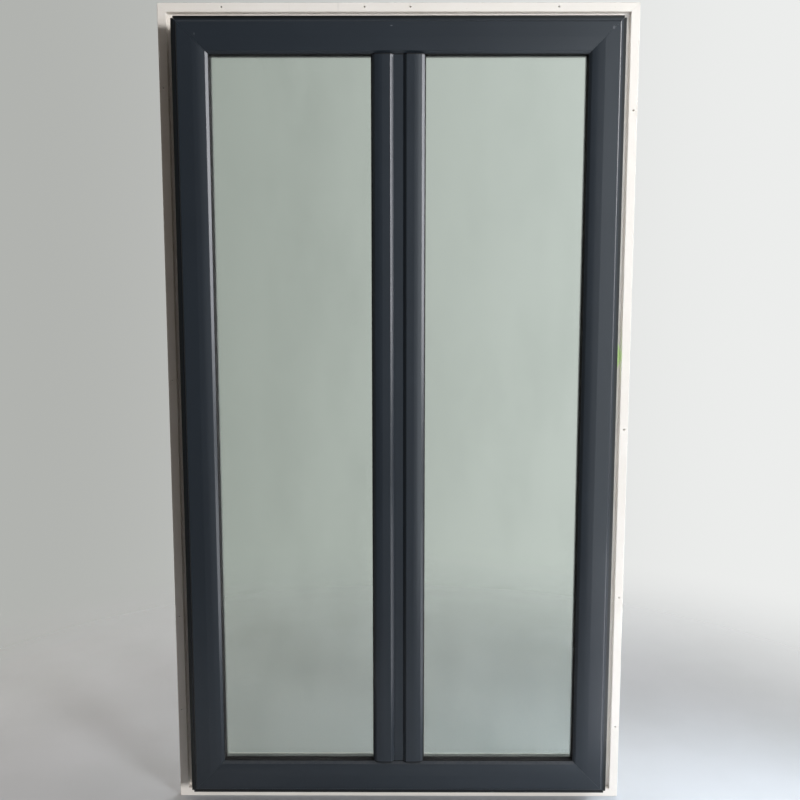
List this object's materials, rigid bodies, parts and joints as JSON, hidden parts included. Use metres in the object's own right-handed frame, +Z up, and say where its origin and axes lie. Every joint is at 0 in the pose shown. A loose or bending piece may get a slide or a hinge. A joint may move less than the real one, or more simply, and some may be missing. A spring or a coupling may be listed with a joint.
{
  "type": "two-light aluminium window",
  "caption": "Tall fixed window: grey soft-line aluminium frame with a ribbed mullion, sealed glass units, white room side and a white drilled fixing flange round it.",
  "frame": {"origin": "on the outward face of the flange rim, at the middle of the bottom rim", "axes": "+X along the sill, to the right seen from outside; +Y into the room; +Z up"},
  "size_m": [1.138, 0.091, 1.985],
  "materials": {
    "anthracite_paint": "satin anthracite grey powder coat on aluminium",
    "white_paint": "satin white powder coat on aluminium",
    "white_flange": "satin white coat, scuffed and dusty from handling",
    "black_polyamide": "matt black glass-filled plastic",
    "black_gasket": "matt black rubber",
    "spacer_aluminium": "dull mill finish aluminium",
    "clear_glass": "clear float glass with a slight green tint"
  },
  "bodies": {
    "root": {"outer_frame_top": "anthracite_paint", "thermal_break_top": "black_polyamide", "inner_frame_top": "white_paint", "flange_top": "white_flange", "outer_frame_bottom": "anthracite_paint", "thermal_break_bottom": "black_polyamide", "inner_frame_bottom": "white_paint", "flange_bottom": "white_flange", "outer_frame_left": "anthracite_paint", "thermal_break_left": "black_polyamide", "inner_frame_left": "white_paint", "flange_left": "white_flange", "outer_frame_right": "anthracite_paint", "thermal_break_right": "black_polyamide", "inner_frame_right": "white_paint", "flange_right": "white_flange", "mullion_left_band": "anthracite_paint", "mullion_right_band": "anthracite_paint", "mullion_centre_strip": "anthracite_paint", "mullion_foot_seal": "black_gasket", "mullion_head_seal": "black_gasket", "mullion_thermal_break": "black_polyamide", "mullion_inner": "white_paint", "left_outer_pane": "clear_glass", "left_inner_pane": "clear_glass", "left_spacer": "spacer_aluminium", "left_outer_gasket": "black_gasket", "left_inner_gasket": "black_gasket", "left_bead_top": "white_paint", "left_bead_bottom": "white_paint", "left_bead_left": "white_paint", "left_bead_right": "white_paint", "right_outer_pane": "clear_glass", "right_inner_pane": "clear_glass", "right_spacer": "spacer_aluminium", "right_outer_gasket": "black_gasket", "right_inner_gasket": "black_gasket", "right_bead_top": "white_paint", "right_bead_bottom": "white_paint", "right_bead_left": "white_paint", "right_bead_right": "white_paint"}
  },
  "joints": []
}
